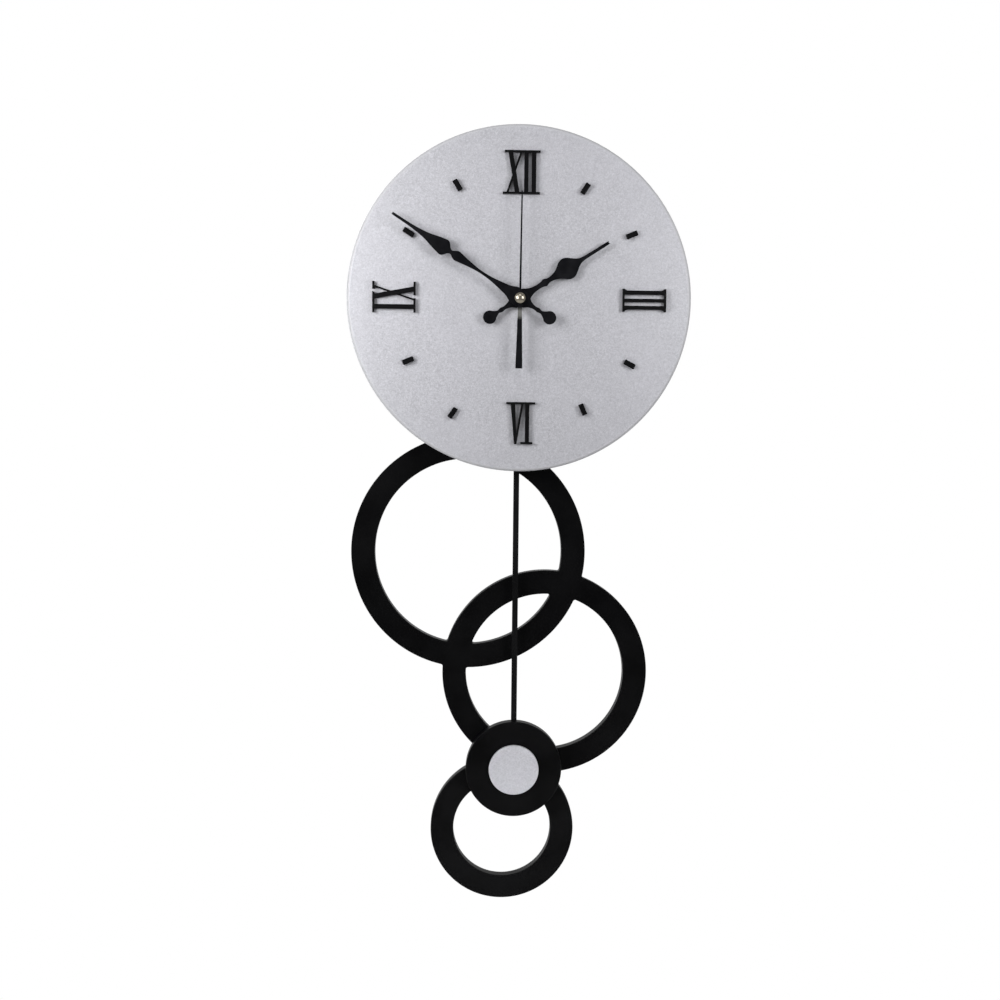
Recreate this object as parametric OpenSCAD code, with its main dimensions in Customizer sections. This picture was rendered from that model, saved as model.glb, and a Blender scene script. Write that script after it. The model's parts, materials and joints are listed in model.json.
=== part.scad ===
// Pendulum wall clock, in millimetres.
// X is to the viewer's right, Z is up and the wall is the plane Y = 0.
// The clock's front faces -Y. The origin is the centre of the hanging hole.

/* [Dial] */
// Diameter of the round dial
dial_d = 260; // [240:5:280]
// Thickness of the dial board
dial_t = 9; // [6:0.5:9]
// Height that the numerals and bars stand off the dial
numeral_t = 3; // [1.5:0.5:3]
// Distance from the hub to the middle of each numeral
numeral_at = 94; // [88:1:98]
// Distance from the hub to the middle of each hour bar
marker_at = 96.5; // [88:0.5:104]

/* [Rings] */
// Thickness of the ring board
ring_t = 9; // [6:0.5:9]
// Outer radius of the top ring
ring1_r = 91.5; // [90:0.5:94]
// Outer radius of the middle ring
ring2_r = 80.5; // [78:0.5:83]
// Outer radius of the bottom ring
ring3_r = 56.5; // [55:0.5:59]
// Width of the bands of the top and middle rings
band_w = 18.5; // [16:0.5:20]
// Width of the band of the bottom ring
band3_w = 18; // [14:0.5:20]

/* [Pendulum] */
// Radius of the black bob
bob_r = 37.5; // [30:0.5:44]
// Radius of the silver disc on the bob
bob_disc_r = 19.5; // [12:0.5:24]
// Distance from the hub down to the bob's centre
bob_drop = 364.5; // [340:0.5:370]
// Width of the pendulum rod
rod_w = 4.4; // [3:0.1:5]

/* [Hands] */
// Hour hand, degrees clockwise from twelve
hour_angle = 57.5; // [0:0.1:359.9]
// Minute hand, degrees clockwise from twelve
minute_angle = 302.8; // [0:0.1:359.9]
// Second hand, degrees clockwise from twelve
second_angle = 0.5; // [0:0.1:359.9]

/* [Hanging] */
// Radius of the hole that takes the wall nail
hang_r = 4.25; // [3:0.25:5]
// Height of the hanging hole above the hub
hang_up = 85; // [80:1:90]

/* [Hidden] */
$fn = 96;

// ---- the stack from the wall forwards: every plane's Y ----
bumper_t = 2;
ring_back = -bumper_t;
ring_front = ring_back - ring_t;
dial_back = -31;
dial_front = dial_back - dial_t;
numeral_front = dial_front - numeral_t;
washer_front = dial_front - 0.6;
nut_front = washer_front - 2.2;
bushing_front = nut_front - 0.4;
hour_hand_y = bushing_front - 1.4;
minute_hand_y = hour_hand_y - 2.6;
second_hand_y = minute_hand_y - 2.6;
hand_t = 0.6;

hub_z = -hang_up;
dial_r = dial_d / 2;
edge_cut = 0.8;

// ---- rings, placed from the hub ----
ring1 = [-36.8, -194.6];
ring2 = [24.1, -289.5];
ring3 = [-8.4, -414.9];
corner_r = 1.6;
corner_lap = 0.03;

// ---- the movement's case, placed from the hub ----
case_w = 56;
case_top = 28;
case_bottom = -84;
case_front_y = dial_back;
case_rear_y = -9;
case_wall = 1.5;
case_split = -20;
case_floor = case_front_y + case_wall;
case_roof = case_rear_y - case_wall;
tub_top = -21.5;
tub_bottom = -38.5;
tub_floor = -27;
tub_wall = 1.2;

// ---- pendulum ----
pivot_z = -60;
pin_r = 1;
swing_y = -17.5;
rod_t = 1.2;
rod_back = swing_y + rod_t / 2;
rod_front = swing_y - rod_t / 2;
peg_z = -89;
peg_r = 1.2;
bob_t = 9;
bob_back = -13.5;
bob_front = bob_back - bob_t;
bob_disc_front = bob_front - 3;
magnet_z = -72;

// ---- gear train: teeth, modules and places ----
run_gap = 0.06;
train_m = 0.25;
centre_n = 64;
third_pinion_n = 8;
third_n = 60;
second_pinion_n = 8;
second_n = 60;
inter_pinion_n = 8;
inter_n = 32;
rotor_pinion_n = 8;
centre_to_third = train_m * (centre_n + third_pinion_n) / 2;
third_m = 2 * centre_to_third / (third_n + second_pinion_n);
third_dir = 135;
third_at = centre_to_third * [cos(third_dir), sin(third_dir)];
inter_dir = 20;
inter_m = 0.27;
inter_at = inter_m * (second_n + inter_pinion_n) / 2 * [cos(inter_dir), sin(inter_dir)];
rotor_at = inter_at + train_m * (inter_n + rotor_pinion_n) / 2 * [cos(inter_dir), sin(inter_dir)];
motion_m = 0.4;
cannon_n = 12;
motion_n = 36;
motion_pinion_n = 10;
hour_n = 40;
motion_dir = 225;
centre_to_motion = motion_m * (cannon_n + motion_n) / 2;
hour_m = 2 * centre_to_motion / (hour_n + motion_pinion_n);
motion_at = centre_to_motion * [cos(motion_dir), sin(motion_dir)];
knob_n = 16;
knob_dir = 200;
knob_at = motion_at + motion_m * (knob_n + motion_n) / 2 * [cos(knob_dir), sin(knob_dir)];

// arbors and tubes
second_arbor_r = 0.5;
minute_bore_r = second_arbor_r + run_gap;
minute_tube_r = 1.6;
hour_bore_r = minute_tube_r + run_gap;
hour_tube_r = 2.5;
bushing_bore_r = hour_tube_r + run_gap;
bushing_r = 4;
small_arbor_r = 0.4;
motion_arbor_r = 0.8;
knob_stem_r = 1.2;

// levels in the movement, front to rear
hour_level = -29.1;
motion_level = -27.5;
plate_front = -26.1;
plate_back = -25.5;
centre_level = -25.1;
third_level = -23.1;
second_level = -20.8;
inter_level = -18.4;
magnet_front = -16.9;
magnet_back = -14.7;
bridge_front = -14.0;
bridge_back = -13.0;
wheel_t = 0.8;
pinion_t = 1.2;

// ---------- helpers ----------

// Extrudes a drawing in X and Z from y0, nearer the viewer, back to y1.
module slab(y0, y1) {
  translate([0, y1, 0])
    rotate([90, 0, 0])
      linear_extrude(y1 - y0)
        children();
}

// A round bar along Y at [x, z].
module bar(at, r, y0, y1) {
  slab(y0, y1)
    translate(at)
      circle(r);
}

// A block between two corners.
module block(lo, hi) {
  translate(lo)
    cube(hi - lo);
}

module at_hub() {
  translate([0, 0, hub_z])
    children();
}

// One of the two points where two circles meet; side is 1 or -1.
function gap(a, b) = norm(b - a);
function along(a, ra, b, rb) = (gap(a, b) * gap(a, b) + ra * ra - rb * rb) / (2 * gap(a, b));
function aside(a, ra, b, rb) = sqrt(ra * ra - pow(along(a, ra, b, rb), 2));
function unit(v) = v / norm(v);
function turned(v) = [-v[1], v[0]];
function meet(a, ra, b, rb, side) =
  a + along(a, ra, b, rb) * unit(b - a) + side * aside(a, ra, b, rb) * turned(unit(b - a));

// Fills the sharp corner where the edges of two circles meet with a round of corner_r.
// open is 1 where the free side lies outside the circle, -1 where it lies inside.
module corner_round(a, ra, open_a, b, rb, open_b, side) {
  tip = meet(a, ra, b, rb, side);
  mid = meet(a, ra + open_a * corner_r, b, rb + open_b * corner_r, side);
  reach = corner_r + 0.8;
  slab(ring_front, ring_back)
    difference() {
      polygon([
        mid,
        mid - open_a * reach * unit(mid - a),
        tip + 0.8 * unit(tip - mid),
        mid - open_b * reach * unit(mid - b)
      ]);
      translate(mid)
        circle(corner_r + corner_lap);
    }
}

// All four kinds of corner where two bands cross, on both sides.
module crossing_rounds(a, ra, wa, b, rb, wb) {
  for (side = [-1, 1]) {
    corner_round(a, ra, 1, b, rb, 1, side);
    corner_round(a, ra - wa, -1, b, rb - wb, -1, side);
    corner_round(a, ra - wa, -1, b, rb, 1, side);
    corner_round(a, ra, 1, b, rb - wb, -1, side);
  }
}

module band(at, r, w) {
  slab(ring_front, ring_back)
    translate(at)
      difference() {
        circle(r);
        circle(r - w);
      }
}

// Points of a wheel with straight-sided teeth, one tooth pointing along the angle face.
function ray(r, a) = [r * cos(a), r * sin(a)];
function gear_points(n, m, face) = [
  for (i = [0:n - 1])
    for (p = [[-0.25, -1.15], [-0.09, 0.85], [0.09, 0.85], [0.25, -1.15]])
      ray(m * (n / 2 + p[1]), face + (i + p[0]) * 360 / n)
];

// A toothed wheel of thickness t from level y back; gap turns a gap, not a tooth, to face.
module gear(at, n, m, face, gap_faces, y, t) {
  slab(y, y + t)
    translate(at)
      polygon(gear_points(n, m, face + (gap_faces ? 180 / n : 0)));
}

// Smooth curve through a list of [distance, half width] stations.
function ease(a, b, c, d, t) =
  0.5 * (2 * b + (c - a) * t + (2 * a - 5 * b + 4 * c - d) * t * t + (3 * b - a - 3 * c + d) * t * t * t);
function clampi(i, n) = min(max(i, 0), n - 1);
function curve(s, steps) = [
  for (i = [0:len(s) - 2])
    for (k = [0:steps - 1])
      ease(s[clampi(i - 1, len(s))], s[i], s[i + 1], s[clampi(i + 2, len(s))], k / steps)
];
function half(s, steps) = concat(curve(s, steps), [s[len(s) - 1]]);
function both(s) = concat(
  [for (p = s) [p[1], p[0]]],
  [for (i = [len(s) - 1:-1:0]) [-s[i][1], s[i][0]]]
);

// ---------- dial ----------

module dial_board() {
  color("silver")
    at_hub()
      difference() {
        rotate([90, 0, 0])
          rotate_extrude()
            polygon([
              [0, -dial_back], [dial_r, -dial_back], [dial_r, -dial_front - edge_cut],
              [dial_r - edge_cut, -dial_front], [0, -dial_front]
            ]);
        bar([0, 0], bushing_r + 0.2, dial_front - 1, dial_back + 1);
        for (p = spacer_screw_at)
          bar(p, screw_r, dial_back - screw_bite, dial_back + 1);
        for (p = block_screw_at)
          bar(p, screw_r, dial_back - screw_bite, dial_back + 1);
      }
}

serif_t = 1.6;
stem_w = 3.1;

// An upright stroke of a numeral h tall.
module stem(x, h, w = stem_w) {
  slab(numeral_front, dial_front)
    translate([x - w / 2, -h / 2])
      square([w, h]);
}

// A serif from x0 to x1 at the top (end 1) or the bottom (end -1).
module serif(x0, x1, h, end) {
  slab(numeral_front, dial_front)
    translate([x0, end > 0 ? h / 2 - serif_t : -h / 2])
      square([x1 - x0, serif_t]);
}

bracket_w = 1.1;
bracket_h = 1.8;

// The slope between an upright's outer edge x and its serif, on the side given.
module bracket(x, h, end, side) {
  slab(numeral_front, dial_front)
    polygon([
      [x - side * 0.5, end * (h / 2 - serif_t / 2)], [x + side * bracket_w, end * (h / 2 - serif_t / 2)],
      [x + side * bracket_w, end * (h / 2 - serif_t)], [x, end * (h / 2 - serif_t - bracket_h)],
      [x - side * 0.5, end * (h / 2 - serif_t - bracket_h)]
    ]);
}

// A slanting stroke from its top middle to its bottom middle, top_w wide above and low_w below.
module stroke(top_x, bottom_x, h, top_w, low_w) {
  slab(numeral_front, dial_front)
    polygon([
      [top_x - top_w / 2, h / 2], [top_x + top_w / 2, h / 2],
      [bottom_x + low_w / 2, -h / 2], [bottom_x - low_w / 2, -h / 2]
    ]);
}

// Places a numeral, turned clockwise as the viewer sees it.
module numeral(centre, turn) {
  color("black")
    at_hub()
      translate([centre[0], 0, centre[1]])
        rotate([0, turn, 0])
          union()
            children();
}

module numeral_xii() {
  h = 32.3;
  numeral([0.6, numeral_at - 0.3], 0) {
    stroke(-8.6, -3.1, h, 3.4, 3.4);
    stroke(0, -11.1, h, 1.5, 1.6);
    stem(3.4, h);
    stem(9.1, h, 3.3);
    serif(-12.9, 13.9, h, 1);
    serif(-14.1, 13.7, h, -1);
  }
}

module numeral_iii() {
  h = 33;
  numeral([numeral_at, -0.1], 90) {
    stem(-5.65, h, 3);
    stem(0.2, h, 2.5);
    stem(5.6, h, 2.8);
    for (end = [1, -1]) {
      serif(-8.5, 8.7, h, end);
      bracket(-7.15, h, end, -1);
      bracket(7, h, end, 1);
    }
  }
}

module numeral_vi() {
  h = 31.7;
  numeral([1.4, -numeral_at + 0.6], 0) {
    stroke(-5.7, -3.6, h, 3.5, 1.9);
    stroke(1.7, -3.5, h, 1.7, 1.5);
    stem(5.2, h);
    serif(-10.8, 11.2, h, 1);
    serif(0.2, 9.4, h, -1);
  }
}

module numeral_ix() {
  h = 32.4;
  numeral([-numeral_at - 0.3, 0], -90) {
    stem(-7, h, 3.4);
    stroke(0.3, 6.4, h, 3.6, 3.6);
    stroke(8.7, -2.2, h, 1.3, 1.3);
    serif(-11.3, 4.1, h, 1);
    serif(6.1, 11.7, h, 1);
    serif(-11.3, -0.8, h, -1);
    serif(1.6, 11.5, h, -1);
  }
}

// Each bar is stuck on by hand: degrees from twelve, millimetres further out, and lean.
bar_places = [
  [30.5, -1, 3], [60, 0.5, 7], [120, 0, -2], [149.5, -0.5, 7],
  [210, 3, 5], [240.5, -0.5, 7], [300, 0, 2], [330.5, -0.5, -2]
];
bar_l = 8.8;
bar_w = 3.9;
bar_round = 0.5;

module hour_bars() {
  color("black")
    at_hub()
      for (b = bar_places)
        slab(numeral_front, dial_front)
          rotate(-b[0])
            translate([0, marker_at + b[1]])
              rotate(-b[2])
                union() {
                  square([bar_w - 2 * bar_round, bar_l], center = true);
                  square([bar_w, bar_l - 2 * bar_round], center = true);
                  for (x = [-1, 1], z = [-1, 1])
                    translate([x * (bar_w / 2 - bar_round), z * (bar_l / 2 - bar_round)])
                      circle(bar_round);
                }
}

// ---------- rings ----------

screw_r = 1.75;
screw_bite = 5;
head_r = 3.6;
head_t = 2;
spacer_r = ring1_r - band_w / 2;
spacer_w = 13;
spacer_from = 74;
spacer_to = 98;
spacer_screw_at = [for (a = [79, 93]) ring1 + spacer_r * [cos(a), sin(a)]];

module ring_frame() {
  color("#151515")
    at_hub()
      difference() {
        union() {
          band(ring1, ring1_r, band_w);
          band(ring2, ring2_r, band_w);
          band(ring3, ring3_r, band3_w);
          crossing_rounds(ring1, ring1_r, band_w, ring2, ring2_r, band_w);
          for (side = [-1, 1])
            corner_round(ring2, ring2_r, 1, ring3, ring3_r, 1, side);
        }
        for (p = spacer_screw_at)
          screw_space(p, ring_back, 20);
      }
}

// A countersunk wood screw, head flush at y and pointing at the viewer.
module screw_space(p, y, length) {
  translate([p[0], y, p[1]])
    rotate([90, 0, 0])
      union() {
        cylinder(h = head_t, r1 = head_r, r2 = screw_r);
        cylinder(h = length, r = screw_r);
      }
}

module screw(p, y, length) {
  difference() {
    screw_space(p, y, length);
    translate([p[0], y, p[1]])
      for (a = [0, 90])
        rotate([0, a, 0])
          cube([3.4, 2.2, 0.7], center = true);
  }
}

module spacer_block() {
  color("#7a6248")
    at_hub()
      difference() {
        slab(dial_back, ring_front)
          translate(ring1)
            intersection() {
              difference() {
                circle(spacer_r + spacer_w / 2);
                circle(spacer_r - spacer_w / 2);
              }
              polygon([
                [0, 0], 120 * [cos(spacer_from), sin(spacer_from)],
                120 * [cos(spacer_to), sin(spacer_to)]
              ]);
            }
        for (p = spacer_screw_at)
          bar(p, screw_r, dial_back - 1, ring_front + 1);
      }
}

module spacer_screws() {
  color("#c8c8c8")
    at_hub()
      for (p = spacer_screw_at)
        screw(p, ring_back, ring_back - dial_back + screw_bite);
}

// ---------- hanger ----------

hanger_half = [30, 15];
block_screw_at = [[-24, hang_up - 7], [24, hang_up - 7]];
plate_screw_at = [[-14, 0], [14, 0]];
plate_t = 1.5;
plate_half = [19, 7];

module hanger_block() {
  color("#7a6248")
    difference() {
      block([-hanger_half[0], dial_back, -hanger_half[1]], [hanger_half[0], ring_back, hanger_half[1]]);
      bar([0, 0], 7, -20, 1);
      for (p = block_screw_at)
        translate([0, 0, hub_z])
          screw_space(p, ring_back, 40);
      for (p = plate_screw_at)
        bar(p, 1.4, ring_back - 10, 1);
    }
}

module hanger_block_screws() {
  color("#c8c8c8")
    at_hub()
      for (p = block_screw_at)
        screw(p, ring_back, ring_back - dial_back + screw_bite);
}

module hanger_plate() {
  color("#c0c4c8")
    difference() {
      block([-plate_half[0], ring_back, -plate_half[1]], [plate_half[0], ring_back + plate_t, plate_half[1]]);
      bar([0, 0], hang_r, ring_back - 1, 1);
      for (p = plate_screw_at)
        translate([p[0], ring_back + plate_t, p[1]])
          rotate([90, 0, 0])
            union() {
              cylinder(h = 1.1, r1 = 2.6, r2 = 1.4);
              cylinder(h = 4, r = 1.4);
            }
    }
}

module hanger_plate_screws() {
  color("#c8c8c8")
    for (p = plate_screw_at)
      translate([p[0], ring_back + plate_t, p[1]])
        difference() {
          rotate([90, 0, 0])
            union() {
              cylinder(h = 1.1, r1 = 2.6, r2 = 1.4);
              cylinder(h = 11.5, r = 1.4);
            }
          cube([2.6, 1.4, 0.5], center = true);
          cube([0.5, 1.4, 2.6], center = true);
        }
}

bumper_r = 5;
bumper_at = [
  [-24, hang_up + 8.5],
  [24, hang_up + 8.5],
  ring1 + [-ring1_r + band_w / 2, 0],
  ring2 + [ring2_r - band_w / 2, 0],
  ring3 + [0, -ring3_r + band3_w / 2]
];

module wall_bumpers() {
  color("#dcdcdc")
    at_hub()
      for (p = bumper_at)
        translate([p[0], ring_back, p[1]])
          rotate([-90, 0, 0])
            cylinder(h = bumper_t, r1 = bumper_r, r2 = bumper_r - 0.8);
}

// ---------- the movement ----------

post_at = [[-24, 24], [24, 24], [-24, -80], [24, -80]];
post_r = 3;
case_screw_r = 1.2;
arm_slot = [7.5, -21, -14];
plate_lo = [-21, -19];
plate_hi = [21, 24];
bridge_lo = [-21, -19];
bridge_hi = [21, 11];
pillar_at = [[-19, -17], [19, -17], [-19, 9], [19, 9]];
pillar_r = 1.6;

module case_outline(cut) {
  translate([-case_w / 2 + cut, case_bottom + cut])
    square([case_w - 2 * cut, case_top - case_bottom - 2 * cut]);
}

module arm_slot_space() {
  block([-arm_slot[0], arm_slot[1], case_bottom - 1],
    [arm_slot[0], arm_slot[2], case_bottom + case_wall + 1]);
}

module case_front() {
  color("#1c1c1e")
    at_hub()
      difference() {
        union() {
          slab(case_front_y, case_floor)
            case_outline(0);
          slab(case_floor, case_split)
            difference() {
              case_outline(0);
              case_outline(case_wall);
            }
          for (p = post_at)
            bar(p, post_r, case_floor, case_split);
          for (p = pillar_at)
            bar(p, pillar_r, case_floor, plate_front);
          bar([0, pivot_z], 3, case_floor, case_floor + 3);
          bar(motion_at, motion_arbor_r, case_floor, plate_front);
        }
        bar([0, 0], bushing_r, case_front_y - 1, case_floor + 0.1);
        bar([0, pivot_z], pin_r, case_floor, case_floor + 4);
        for (p = post_at)
          bar(p, case_screw_r, case_split - 6, case_split + 1);
        arm_slot_space();
      }
}

module case_rear() {
  color("#1c1c1e")
    at_hub()
      difference() {
        union() {
          slab(case_roof, case_rear_y)
            case_outline(0);
          slab(case_split, case_roof)
            difference() {
              case_outline(0);
              case_outline(case_wall);
            }
          for (p = post_at)
            bar(p, post_r, case_split, case_roof);
          bar([0, pivot_z], 3, case_roof - 3, case_roof);
          block(
            [-case_w / 2 + case_wall, tub_floor, tub_bottom - tub_wall],
            [case_w / 2 - case_wall, case_rear_y, tub_top + tub_wall]
          );
        }
        block(
          [-case_w / 2 + case_wall + tub_wall, tub_floor + tub_wall, tub_bottom],
          [case_w / 2 - case_wall - tub_wall, case_rear_y + 1, tub_top]
        );
        bar([0, pivot_z], pin_r, case_roof - 4, case_roof);
        bar(knob_at, knob_stem_r + run_gap, case_roof - 1, case_rear_y + 1);
        for (p = post_at)
          bar(p, case_screw_r, case_split - 1, case_rear_y + 1);
        for (p = post_at)
          bar(p, 2.2, case_rear_y - 2, case_rear_y + 1);
        arm_slot_space();
      }
}

module case_screws() {
  color("#c8c8c8")
    at_hub()
      for (p = post_at)
        difference() {
          union() {
            bar(p, case_screw_r, case_split - 6, case_rear_y - 2);
            bar(p, 2.2, case_rear_y - 2, case_rear_y - 0.6);
          }
          translate([p[0], case_rear_y - 0.6, p[1]])
            cube([2.6, 1.2, 0.5], center = true);
          translate([p[0], case_rear_y - 0.6, p[1]])
            cube([0.5, 1.2, 2.6], center = true);
        }
}

module hand_bushing() {
  color("#c9a545")
    at_hub()
      difference() {
        bar([0, 0], bushing_r, bushing_front, case_floor);
        bar([0, 0], bushing_bore_r, bushing_front - 1, case_floor + 1);
      }
}

module dial_washer() {
  color("#c9a545")
    at_hub()
      difference() {
        bar([0, 0], 6.4, washer_front, dial_front);
        bar([0, 0], bushing_r, washer_front - 1, dial_front + 1);
      }
}

module fixing_nut() {
  color("#c9a545")
    at_hub()
      difference() {
        slab(nut_front, washer_front)
          circle(r = 6.2, $fn = 6);
        bar([0, 0], bushing_r, nut_front - 1, washer_front + 1);
      }
}

module plate_blank(lo, hi, y0, y1) {
  slab(y0, y1)
    translate(lo)
      square(hi - lo);
}

module wheel_plate() {
  color("#e9e9e4")
    at_hub()
      difference() {
        plate_blank(plate_lo, plate_hi, plate_front, plate_back);
        bar([0, 0], minute_tube_r + run_gap, plate_front - 1, plate_back + 1);
        bar(third_at, small_arbor_r + run_gap, plate_front - 1, plate_back + 1);
        bar(inter_at, small_arbor_r + run_gap, plate_front - 1, plate_back + 1);
        bar(rotor_at, small_arbor_r + run_gap, plate_front - 1, plate_back + 1);
        bar(knob_at, knob_stem_r + 0.5, plate_front - 1, plate_back + 1);
      }
}

module bridge_plate() {
  color("#e9e9e4")
    at_hub()
      difference() {
        union() {
          plate_blank(bridge_lo, bridge_hi, bridge_front, bridge_back);
          for (p = pillar_at)
            bar(p, pillar_r, plate_back, bridge_front);
        }
        bar([0, 0], second_arbor_r + run_gap, bridge_front - 1, bridge_back + 1);
        bar(third_at, small_arbor_r + run_gap, bridge_front - 1, bridge_back + 1);
        bar(inter_at, small_arbor_r + run_gap, bridge_front - 1, bridge_back + 1);
        bar(rotor_at, small_arbor_r + run_gap, bridge_front - 1, bridge_back + 1);
        bar(knob_at, knob_stem_r + 0.5, bridge_front - 1, bridge_back + 1);
      }
}

core_z = 19;
core_front = -16.4;
core_back = -15.2;
rotor_hole = 3.1;
coil_half = 7.2;
stator_half = 3.8;

module stator() {
  color("#9a9ea2")
    at_hub()
      difference() {
        union() {
          block([rotor_at[0] - stator_half, core_front, 0.6],
            [rotor_at[0] + stator_half, core_back, core_z + 1.5]);
          block([-coil_half - 4.5, core_front, core_z - 1.5],
            [rotor_at[0] + stator_half, core_back, core_z + 1.5]);
        }
        bar(rotor_at, rotor_hole, core_front - 1, core_back + 1);
      }
}

module coil_core_bobbin() {
  color("#ece8dc")
    at_hub()
      translate([0, (core_front + core_back) / 2, core_z])
        difference() {
          union() {
            for (x = [-coil_half - 1, coil_half - 0.2])
              translate([x, -4.3, -4.3])
                cube([1.2, 8.6, 8.6]);
            translate([-coil_half, -1.4, -2.3])
              cube([2 * coil_half, 2.8, 4.6]);
          }
          cube([40, core_back - core_front, 3], center = true);
        }
}

module coil_winding() {
  color("#b5602c")
    at_hub()
      translate([0, (core_front + core_back) / 2, core_z])
        difference() {
          translate([-coil_half + 0.2, 0, 0])
            rotate([0, 90, 0])
              cylinder(h = 2 * coil_half - 0.4, r = 4);
          cube([40, 2.8, 4.6], center = true);
        }
}

board_lo = [-20, -55];
board_hi = [20, -42];
board_front = case_floor;
board_back = board_front + 1.2;

module circuit_board() {
  color("#1f6b3a")
    at_hub()
      plate_blank(board_lo, board_hi, board_front, board_back);
}

module quartz_crystal() {
  color("#c7ccd1")
    at_hub()
      translate([-14, board_back + 1, -45])
        rotate([0, 90, 0])
          cylinder(h = 6, r = 1);
}

module clock_chip() {
  color("#101010")
    at_hub()
      translate([10, board_back, -48])
        rotate([-90, 0, 0])
          cylinder(h = 1.4, r1 = 4, r2 = 3);
}

cell_r = 7.1;
cell_z = (tub_top + tub_bottom) / 2;
cell_y = tub_floor + tub_wall + cell_r + 0.1;
cell_from = -23.6;
cell_to = 23.4;

module battery() {
  color("#3c4650")
    at_hub()
      translate([cell_from, cell_y, cell_z])
        rotate([0, 90, 0])
          union() {
            cylinder(h = cell_to - cell_from, r = cell_r);
            translate([0, 0, cell_to - cell_from])
              cylinder(h = 1, r = 2.7);
          }
}

tub_end = case_w / 2 - case_wall - tub_wall;

module contact_plus() {
  color("#d8dadc")
    at_hub()
      block([tub_end - 0.5, cell_y - 5, cell_z - 5], [tub_end, cell_y + 5, cell_z + 5]);
}

module contact_minus() {
  color("#d8dadc")
    at_hub()
      union() {
        block([-tub_end, cell_y - 5, cell_z - 5], [-tub_end + 0.5, cell_y + 5, cell_z + 5]);
        translate([-tub_end + 0.5, cell_y, cell_z])
          rotate([0, 90, 0])
            cylinder(h = cell_from + tub_end - 0.5, r1 = 4, r2 = 2.4);
      }
}

module drive_coil() {
  color("#b5602c")
    at_hub()
      difference() {
        bar([0, magnet_z], 7, case_roof - 3, case_roof);
        bar([0, magnet_z], 2.5, case_roof - 4, case_roof + 1);
      }
}

module pivot_pin() {
  color("#c8ccd0")
    at_hub()
      bar([0, pivot_z], pin_r, case_floor, case_roof);
}

// ---------- wheels ----------

module rotor_magnet() {
  color("#55585c")
    at_hub()
      difference() {
        bar(rotor_at, 2.5, magnet_front, magnet_back);
        bar(rotor_at, small_arbor_r, magnet_front - 1, magnet_back + 1);
      }
}

module rotor_pinion() {
  color("#f0eee6")
    at_hub()
      union() {
        gear(rotor_at, rotor_pinion_n, train_m, inter_dir, true, inter_level, pinion_t);
        bar(rotor_at, small_arbor_r, plate_front, bridge_back);
      }
}

module intermediate_wheel() {
  color("#f0eee6")
    at_hub()
      union() {
        gear(inter_at, inter_n, train_m, inter_dir, false, inter_level + 0.2, wheel_t);
        gear(inter_at, inter_pinion_n, inter_m, inter_dir, true, second_level, pinion_t);
        bar(inter_at, small_arbor_r, plate_front, bridge_back);
      }
}

module second_wheel() {
  color("#e8d9a8")
    at_hub()
      union() {
        gear([0, 0], second_n, inter_m, inter_dir, false, second_level + 0.2, wheel_t);
        gear([0, 0], second_pinion_n, third_m, third_dir, false, third_level, pinion_t);
        bar([0, 0], second_arbor_r, second_hand_y, bridge_back);
      }
}

module third_wheel() {
  color("#f0eee6")
    at_hub()
      union() {
        gear(third_at, third_n, third_m, third_dir, true, third_level + 0.2, wheel_t);
        gear(third_at, third_pinion_n, train_m, third_dir, true, centre_level, pinion_t);
        bar(third_at, small_arbor_r, plate_front, bridge_back);
      }
}

module centre_wheel() {
  color("#e8d9a8")
    at_hub()
      difference() {
        union() {
          gear([0, 0], centre_n, train_m, third_dir, false, centre_level + 0.2, wheel_t);
          gear([0, 0], cannon_n, motion_m, motion_dir, false, motion_level, pinion_t);
          bar([0, 0], minute_tube_r, minute_hand_y - 0.4, centre_level + pinion_t);
        }
        bar([0, 0], minute_bore_r, minute_hand_y - 2, centre_level + 3);
      }
}

module motion_wheel() {
  color("#f0eee6")
    at_hub()
      difference() {
        union() {
          gear(motion_at, motion_n, motion_m, motion_dir, true, motion_level + 0.2, wheel_t);
          gear(motion_at, motion_pinion_n, hour_m, motion_dir, true, hour_level, 1.9);
        }
        bar(motion_at, motion_arbor_r + run_gap, hour_level - 1, motion_level + 3);
      }
}

module hour_wheel() {
  color("#f0eee6")
    at_hub()
      difference() {
        union() {
          gear([0, 0], hour_n, hour_m, motion_dir, false, hour_level, wheel_t);
          bar([0, 0], hour_tube_r, hour_hand_y - 0.4, hour_level + 0.4);
        }
        bar([0, 0], hour_bore_r, hour_hand_y - 2, hour_level + 3);
      }
}

knob_r = 5.5;

module set_knob() {
  color("#f4f4f0")
    at_hub()
      difference() {
        union() {
          gear(knob_at, knob_n, motion_m, knob_dir, true, motion_level, pinion_t);
          bar(knob_at, knob_stem_r, motion_level, case_rear_y + 0.4);
          slab(case_rear_y + 0.4, case_rear_y + 4)
            translate(knob_at)
              polygon(gear_points(24, knob_r / 12.85, 0));
        }
        translate([knob_at[0], case_rear_y + 4, knob_at[1]])
          cube([6, 1.6, 1.2], center = true);
      }
}

// ---------- hands ----------

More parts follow.
